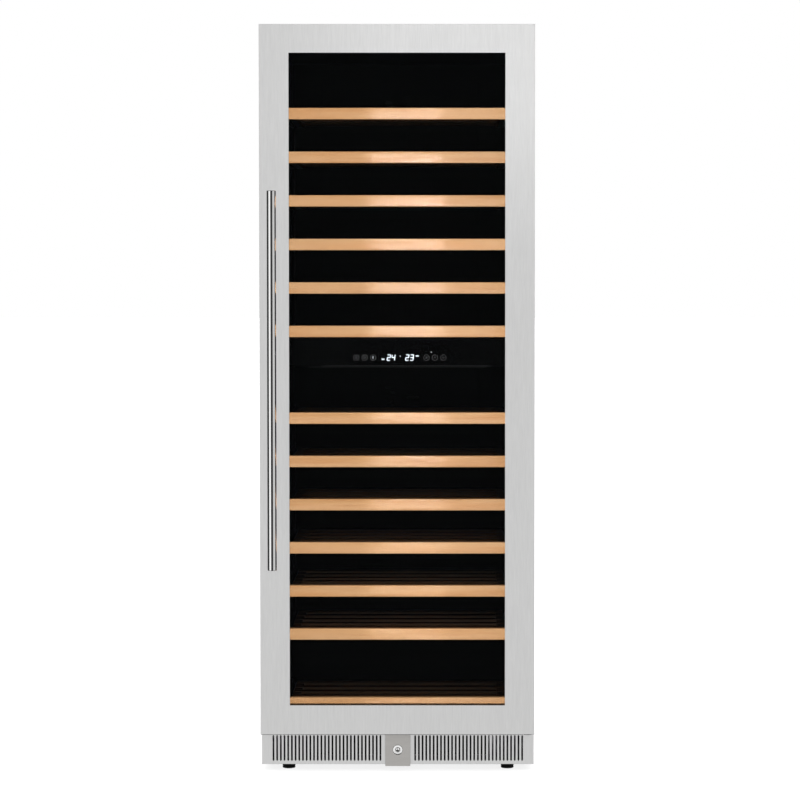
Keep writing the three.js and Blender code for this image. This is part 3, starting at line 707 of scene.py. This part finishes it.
def make_panel_trim():
    """The thin dark metal lip under the control panel."""
    trim = bmesh.new()
    proud = 1.2 * MM
    bottom, top = PANEL_LOW.z + 0.2 * MM, PANEL_LOW.z + 1.6 * MM
    add_box(trim, (LIP_LEFT, PANEL_LOW.y - proud, bottom), (LIP_RIGHT, PANEL_LOW.y, top), 0.3 * MM)
    finish_mesh("control_panel_lip", trim, LIP_STEEL, "cabinet")


# ---- plinth, lock and feet ----------------------------------------------------------------------

def make_lock():
    """A key lock: flat bezel, domed plug with a keyway, and its cam."""
    low, high = corners("lock_barrel")
    face = low.y
    centre_z = (low.z + high.z) / 2
    centre = (0.0, face, centre_z)
    bezel = (high.z - low.z) / 2
    barrel = 8.5 * MM
    back = high.y - face
    well = 2.6 * MM  # depth of the well round the plug
    shape = bmesh.new()
    add_lathe(shape, [
        (0, well), (6.9 * MM, well), (7.1 * MM, 0.4 * MM), (7.5 * MM, 0), (10.9 * MM, 0),
        (11.6 * MM, 0.4 * MM), (bezel, 1.2 * MM), (bezel, 2.2 * MM),
        (barrel, 2.25 * MM), (barrel, back), (0, back)], centre, "Y", 64)
    piece = finish_mesh("lock_key_barrel", shape, POLISHED, "lock", 40)
    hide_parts("lock_barrel")

    cam = bmesh.new()
    cam_front = face + 7.7 * MM
    cam_thick, cam_half = 2 * MM, 5 * MM
    cam_reach, cam_stub = 20 * MM, 8 * MM
    add_box(cam, (-cam_reach, cam_front, centre_z - cam_half),
            (cam_stub, cam_front + cam_thick, centre_z + cam_half), 0.5 * MM)
    finish_mesh("lock_cam", cam, ZINC, "lock")

    plug = bmesh.new()
    plug_radius, plug_drop = 6.6 * MM, 0.6 * MM
    add_lathe(plug, [
        (0, 0), (1.8 * MM, 0.12 * MM), (3.6 * MM, 0.55 * MM), (5.2 * MM, 1.3 * MM),
        (plug_radius, 2.4 * MM), (plug_radius, well), (0, well)], (0.0, face + plug_drop, centre_z), "Y", 48)
    finish_mesh("lock_plug_face", plug, POLISHED, "lock", 60)

    key = bmesh.new()
    slot_half, slot_reach = 0.8 * MM, 3.6 * MM
    slot_front, slot_back = face + 0.5 * MM, face + 2.0 * MM
    add_box(key, (-slot_half, slot_front, centre_z - slot_reach),
            (slot_half, slot_back, centre_z + slot_reach), 0.1 * MM)
    finish_mesh("lock_keyway", key, PLASTIC, "lock")


def make_foot(name):
    """A levelling foot: ribbed rubber pad, hexagon and threaded stem."""
    low, high = corners(name)
    centre = ((low.x + high.x) / 2, (low.y + high.y) / 2, low.z)
    radius = (high.x - low.x) / 2
    groove = radius - 0.8 * MM
    pad_top, nut_top = 12.8 * MM, 15.2 * MM
    pad = bmesh.new()
    add_lathe(pad, [
        (0, 0), (radius - 2 * MM, 0), (radius - 0.6 * MM, 0.5 * MM), (radius, 1.8 * MM), (radius, 3.5 * MM),
        (groove, 4 * MM), (groove, 5 * MM), (radius, 5.5 * MM), (radius, 9.5 * MM),
        (radius - 1.2 * MM, 11.4 * MM), (radius - 3.5 * MM, 12.6 * MM), (0, pad_top)], centre, "Z", 64)
    piece = finish_mesh(f"{name}_pad", pad, RUBBER, name, 35)
    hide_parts(name)

    stem = bmesh.new()
    nut = 8 * MM
    add_lathe(stem, [(0, pad_top), (nut, pad_top), (nut, nut_top), (0, nut_top)], centre, "Z", 6)
    turns, pitch = 36, 1.2 * MM
    root, crest = 3.9 * MM, 4.5 * MM
    thread = [(0, nut_top)]
    for turn in range(turns):
        height = nut_top + turn * pitch
        thread += [(root, height + 0.1 * MM), (crest, height + 0.5 * pitch)]
    stem_top = nut_top + turns * pitch
    thread += [(root, stem_top), (0, stem_top)]
    add_lathe(stem, thread, centre, "Z", 24)
    finish_mesh(f"{name}_stem", stem, ZINC, name, 30)


# ---- back and machine space ---------------------------------------------------------------------

def make_screws():
    """Screws on the back panel, the rear cover and the top hinge bracket."""
    back_low, back_high = corners("back_panel")
    cover_low, cover_high = corners("rear_cover")
    hinge_low, hinge_high = corners("hinge_bracket_top")
    screws = bmesh.new()
    seat = back_high.y - 1.8 * MM
    inset = 9 * MM
    sheet_screw, hinge_screw = 3.6 * MM, 4.2 * MM
    rows = 7
    for row in range(rows):
        z = back_low.z + inset + (back_high.z - back_low.z - 2 * inset) * row / (rows - 1)
        for x in (back_low.x + inset, back_high.x - inset):
            add_screw(screws, (x, seat, z), "Y", sheet_screw)
    for x in (cover_low.x + inset, 0, cover_high.x - inset):
        for z in (cover_low.z + inset, cover_high.z - inset):
            add_screw(screws, (x, seat, z), "Y", sheet_screw)
    middle = (hinge_low.x + hinge_high.x) / 2
    plate_top = corners("top_panel")[1].z + 3.8 * MM
    for share in (0.45, 0.7, 0.93):
        along = hinge_low.y + share * (hinge_high.y - hinge_low.y)
        add_screw(screws, (middle, along, plate_top), "Z", hinge_screw)
    finish_mesh("cabinet_screws", screws, ZINC, "cabinet", weighted=False)


def tube(name, points, radius, material, body):
    """A smooth tube through points, as a mesh."""
    curve = bpy.data.curves.new(name, "CURVE")
    curve.dimensions = "3D"
    curve.bevel_depth = radius
    curve.bevel_resolution = 4
    curve.use_fill_caps = True
    line = curve.splines.new("NURBS")
    line.points.add(len(points) - 1)
    for target, point in zip(line.points, points):
        target.co = (*point, 1)
    line.use_endpoint_u = True
    line.order_u = 3
    line.resolution_u = 8
    curve.materials.append(material)
    piece = bpy.data.objects.new(name, curve)
    bpy.context.scene.collection.objects.link(piece)
    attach(piece, body)
    return piece


def make_machine_space():
    """The copper pipe from the compressor to the condenser, and the meltwater tray."""
    low, high = corners("compressor")
    pot_x, pot_y = (low.x + high.x) / 2, (low.y + high.y) / 2
    condenser_back = corners("condenser")[1].y
    outlet = low.z + 60 * MM
    floor = low.z + 12 * MM
    inlet = floor + 20 * MM
    side = low.x - 14 * MM
    pipe_radius = 3 * MM
    tube("discharge_pipe", [
        (pot_x - 70 * MM, pot_y, outlet), (side, pot_y, outlet), (side, pot_y, floor),
        (side, pot_y - 80 * MM, floor), (side, condenser_back + 60 * MM, floor),
        (side, condenser_back + 12 * MM, inlet), (side, condenser_back + 0.5 * MM, inlet)],
        pipe_radius, COPPER, "cabinet")

    tray = bmesh.new()
    tray_low = Vector((-250 * MM, 200 * MM, low.z + 2 * MM))
    tray_high = Vector((-40 * MM, 325 * MM, low.z + 32 * MM))
    wall = 2 * MM
    edge_round = 0.5 * MM
    add_box(tray, tray_low, (tray_high.x, tray_high.y, tray_low.z + wall), edge_round)
    for box_low, box_high in (
            (tray_low, (tray_low.x + wall, tray_high.y, tray_high.z)),
            ((tray_high.x - wall, tray_low.y, tray_low.z), tray_high),
            (tray_low, (tray_high.x, tray_low.y + wall, tray_high.z)),
            ((tray_low.x, tray_high.y - wall, tray_low.z), tray_high)):
        add_box(tray, box_low, box_high, edge_round)
    finish_mesh("meltwater_tray", tray, PLASTIC, "cabinet")


# ---- studio -------------------------------------------------------------------------------------

def collection_of(name, pieces):
    """A collection for light linking; it isn't part of the scene."""
    group = bpy.data.collections.new(name)
    for piece in pieces:
        group.objects.link(piece)
    return group


def add_floor():
    bpy.ops.mesh.primitive_circle_add(vertices=96, radius=60, fill_type="NGON", location=(0, 0, 0))
    floor = bpy.context.object
    floor.name = "studio_floor"
    paper = Shader("studio_paper", (0.93, 0.93, 0.93), 0.9, 0.0, Specular_IOR_Level=0.0)
    paper.feed("Base Color", paper.ramp(paper.noise((0.6, 0.6, 0.6)), [(0.3, 0.925), (0.7, 0.935)]))
    floor.data.materials.append(paper.material)
    floor.visible_glossy = False
    floor.visible_diffuse = False
    return floor


def add_world(seen, soft, mirrored):
    """A white surround: its strength for the camera, for soft light and in reflections."""
    world = bpy.data.worlds.new("studio")
    world.use_nodes = True
    tree = world.node_tree
    background = tree.nodes["Background"]
    background.inputs["Color"].default_value = (1, 1, 1, 1)
    path = tree.nodes.new("ShaderNodeLightPath")
    reach = None
    for output, level in (("Is Camera Ray", seen), ("Is Glossy Ray", mirrored)):
        mixer = tree.nodes.new("ShaderNodeMix")
        if reach is None:
            mixer.inputs["A"].default_value = soft
        else:
            tree.links.new(reach, mixer.inputs["A"])
        mixer.inputs["B"].default_value = level
        tree.links.new(path.outputs[output], mixer.inputs["Factor"])
        reach = mixer.outputs["Result"]
    tree.links.new(reach, background.inputs["Strength"])
    bpy.context.scene.world = world


def add_lamp(data, place, target, only=(), blockers=None):
    """Links a light into the scene; only lists the pieces it lights, blockers those that shade it."""
    lamp = bpy.data.objects.new(data.name, data)
    lamp.location = place
    lamp.rotation_euler = (Vector(target) - Vector(place)).to_track_quat("-Z", "Y").to_euler()
    lamp.visible_camera = False
    bpy.context.scene.collection.objects.link(lamp)
    if only:
        lamp.light_linking.receiver_collection = collection_of(f"{data.name}_lit", only)
    if blockers is not None:
        lamp.light_linking.blocker_collection = collection_of(f"{data.name}_shade", blockers)
    return lamp


def add_softbox(name, place, target, size, radiance, only=(), blockers=None, spread=180):
    """A rectangular soft light; radiance is what a mirror facing it would show."""
    data = bpy.data.lights.new(name, "AREA")
    data.shape = "RECTANGLE"
    data.size, data.size_y = size
    data.energy = radiance * math.pi * size[0] * size[1]
    data.spread = math.radians(spread)
    return add_lamp(data, place, target, only, blockers)


def add_floor_light(name, strength, angle, floor, blockers=None):
    """Parallel light from above that falls on the floor alone."""
    data = bpy.data.lights.new(name, "SUN")
    data.energy = strength
    data.angle = math.radians(angle)
    return add_lamp(data, (0.5, -1.5, 6.0), (0, 0, 0), [floor], blockers)


def handle_light_ends(spot, near, far):
    """Where a handle light starts and ends, from two angles in degrees round the handle."""
    distance = 3.0
    ends = []
    for turn in (math.radians(near), math.radians(far)):
        ends.append(spot + distance * Vector((math.sin(turn), -math.cos(turn), 0)))
    return ends


def add_lights(floor):
    """Soft lights, most of them meant for one finish, so that each is lit as it would be in a studio."""
    steel = [NODES[name] for name in ("door_skin", "plinth_grille", "lock_plate")]
    steel.append(bpy.data.objects["control_panel_lip"])
    lock = [bpy.data.objects[name] for name in ("lock_key_barrel", "lock_plug_face")]
    handle = [bpy.data.objects[name] for name in ("handle_bar", "handle_post_upper", "handle_post_lower")]
    fascias = [bpy.data.objects[f"{name}_fascia"] for name in SHELF_NAMES]
    body = [piece for piece in bpy.data.objects
            if piece.type in ("MESH", "CURVE") and piece != floor and piece not in handle]
    solid = body + handle

    for piece in handle:
        piece.visible_glossy = False

    # name, place, target, width and height, radiance, pieces lit, pieces that shade
    glow_y = DOOR_FRONT - 1.5
    for row in (
            ("steel_front", (0, -9.5, 1.0), (0, 0, 1.0), (19, 15), 0.735, steel, body),
            ("steel_left", (-9, 1.0, 2.0), (0, 1.0, 2.0), (12, 12), 0.6, steel, body),
            ("steel_right", (9, 1.0, 2.0), (0, 1.0, 2.0), (12, 12), 0.6, steel, body),
            ("steel_glow", (0.74, glow_y, 2.4), (0.74, 0, 2.4), (1.9, 1.85), 0.24, steel, body)):
        add_softbox(*row)

    handle_spot = Vector((HANDLE_LOW.x, HANDLE_LOW.y, 1.0))
    light_high = 3.6
    for name, near, far, radiance in (("handle_left", -23, -70, 0.95), ("handle_right", 29, 86, 0.58)):
        first, last = handle_light_ends(handle_spot, near, far)
        size = ((last - first).length, light_high)
        add_softbox(name, (first + last) / 2, handle_spot, size, radiance, handle, solid)

    for name, x in (("wood_left", -2.4), ("wood_right", 2.4)):
        add_softbox(name, (x, -3.4, 1.25), (0, -0.24, 0.95), (2.6, 2.0), 7.7, fascias, [floor])
    add_softbox("lock_front", (0, -3.0, 1.0), (0, 0, 1.0), (5.0, 3.6), 0.88, lock, lock)
    # Two narrow beams make the bright band on the fascias; the second fades it out to the right.
    beam_y, beam_z, beam_high = -0.75, 0.95, 1.8
    for name, x, wide, radiance, angle in (
            ("wood_band", 0.02, 0.175, 0.23, 7),
            ("wood_fade", 0.15, 0.2, 0.09, 16)):
        place, target = (x, beam_y, beam_z), (x, 0, beam_z)
        add_softbox(name, place, target, (wide, beam_high), radiance, fascias, [floor], angle)

    for name, x in (("side_left", -5.0), ("side_right", 5.0)):
        add_softbox(name, (x, 1.2, 2.0), (0, 0.2, 0.9), (3.5, 3.5), 2.0, body)
    add_softbox("rear", (0, 6.0, 2.4), (0, 0.3, 0.9), (4.0, 3.0), 2.6, body)

    add_floor_light("floor_even", 2.9, 10, floor, [floor])
    add_floor_light("floor_shade", 0.3, 90, floor)


# ---- put together -------------------------------------------------------------------------------

add_camera()
dress_frame_nodes()
make_handle()
make_gasket()
# The black strip under the door is painted shadow
make_door_shadow_strip()
for shelf_name in SHELF_NAMES:
    make_shelf(shelf_name)
panel_face = PANEL_LOW.y - 0.02 * MM
make_readouts(panel_face)
make_touch_keys(panel_face)
make_panel_trim()
make_lock()
for foot_name in FOOT_NAMES:
    make_foot(foot_name)
make_screws()
make_machine_space()
studio_floor = add_floor()
add_world(seen=1.0, soft=0.35, mirrored=0.04)
add_lights(studio_floor)
bpy.context.scene.view_settings.view_transform = "Standard"
